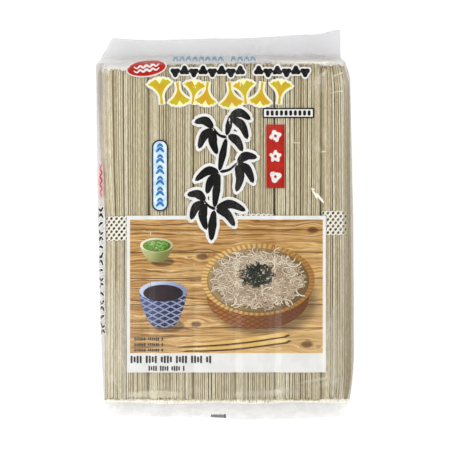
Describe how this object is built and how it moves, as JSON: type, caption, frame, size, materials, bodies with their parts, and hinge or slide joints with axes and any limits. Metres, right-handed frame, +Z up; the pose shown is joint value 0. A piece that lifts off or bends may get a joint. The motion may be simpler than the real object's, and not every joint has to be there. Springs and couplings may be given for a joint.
{
  "type": "dried noodle pack",
  "caption": "Clear film bag of dried buckwheat noodles in paper-banded bundles, lying on its back, with a flat sealed fin at each end.",
  "frame": {"origin": "centre of the surface that the bag lies on, under the middle of its outline", "axes": "+Y along the noodles towards the top end of the print, +Z up out of the front, +X to the right of the print"},
  "size_m": [0.1822, 0.2756, 0.032],
  "materials": {
    "noodles": "dull dried noodle sticks with fine dark specks, seen through film",
    "film": "clear glossy film, hazier where two layers lie together",
    "paper": "thin cream paper with a dotted check",
    "print": "flat opaque ink on the inside of glossy film"
  },
  "bodies": {
    "root": {"noodle_bag": "noodles"}
  },
  "joints": []
}
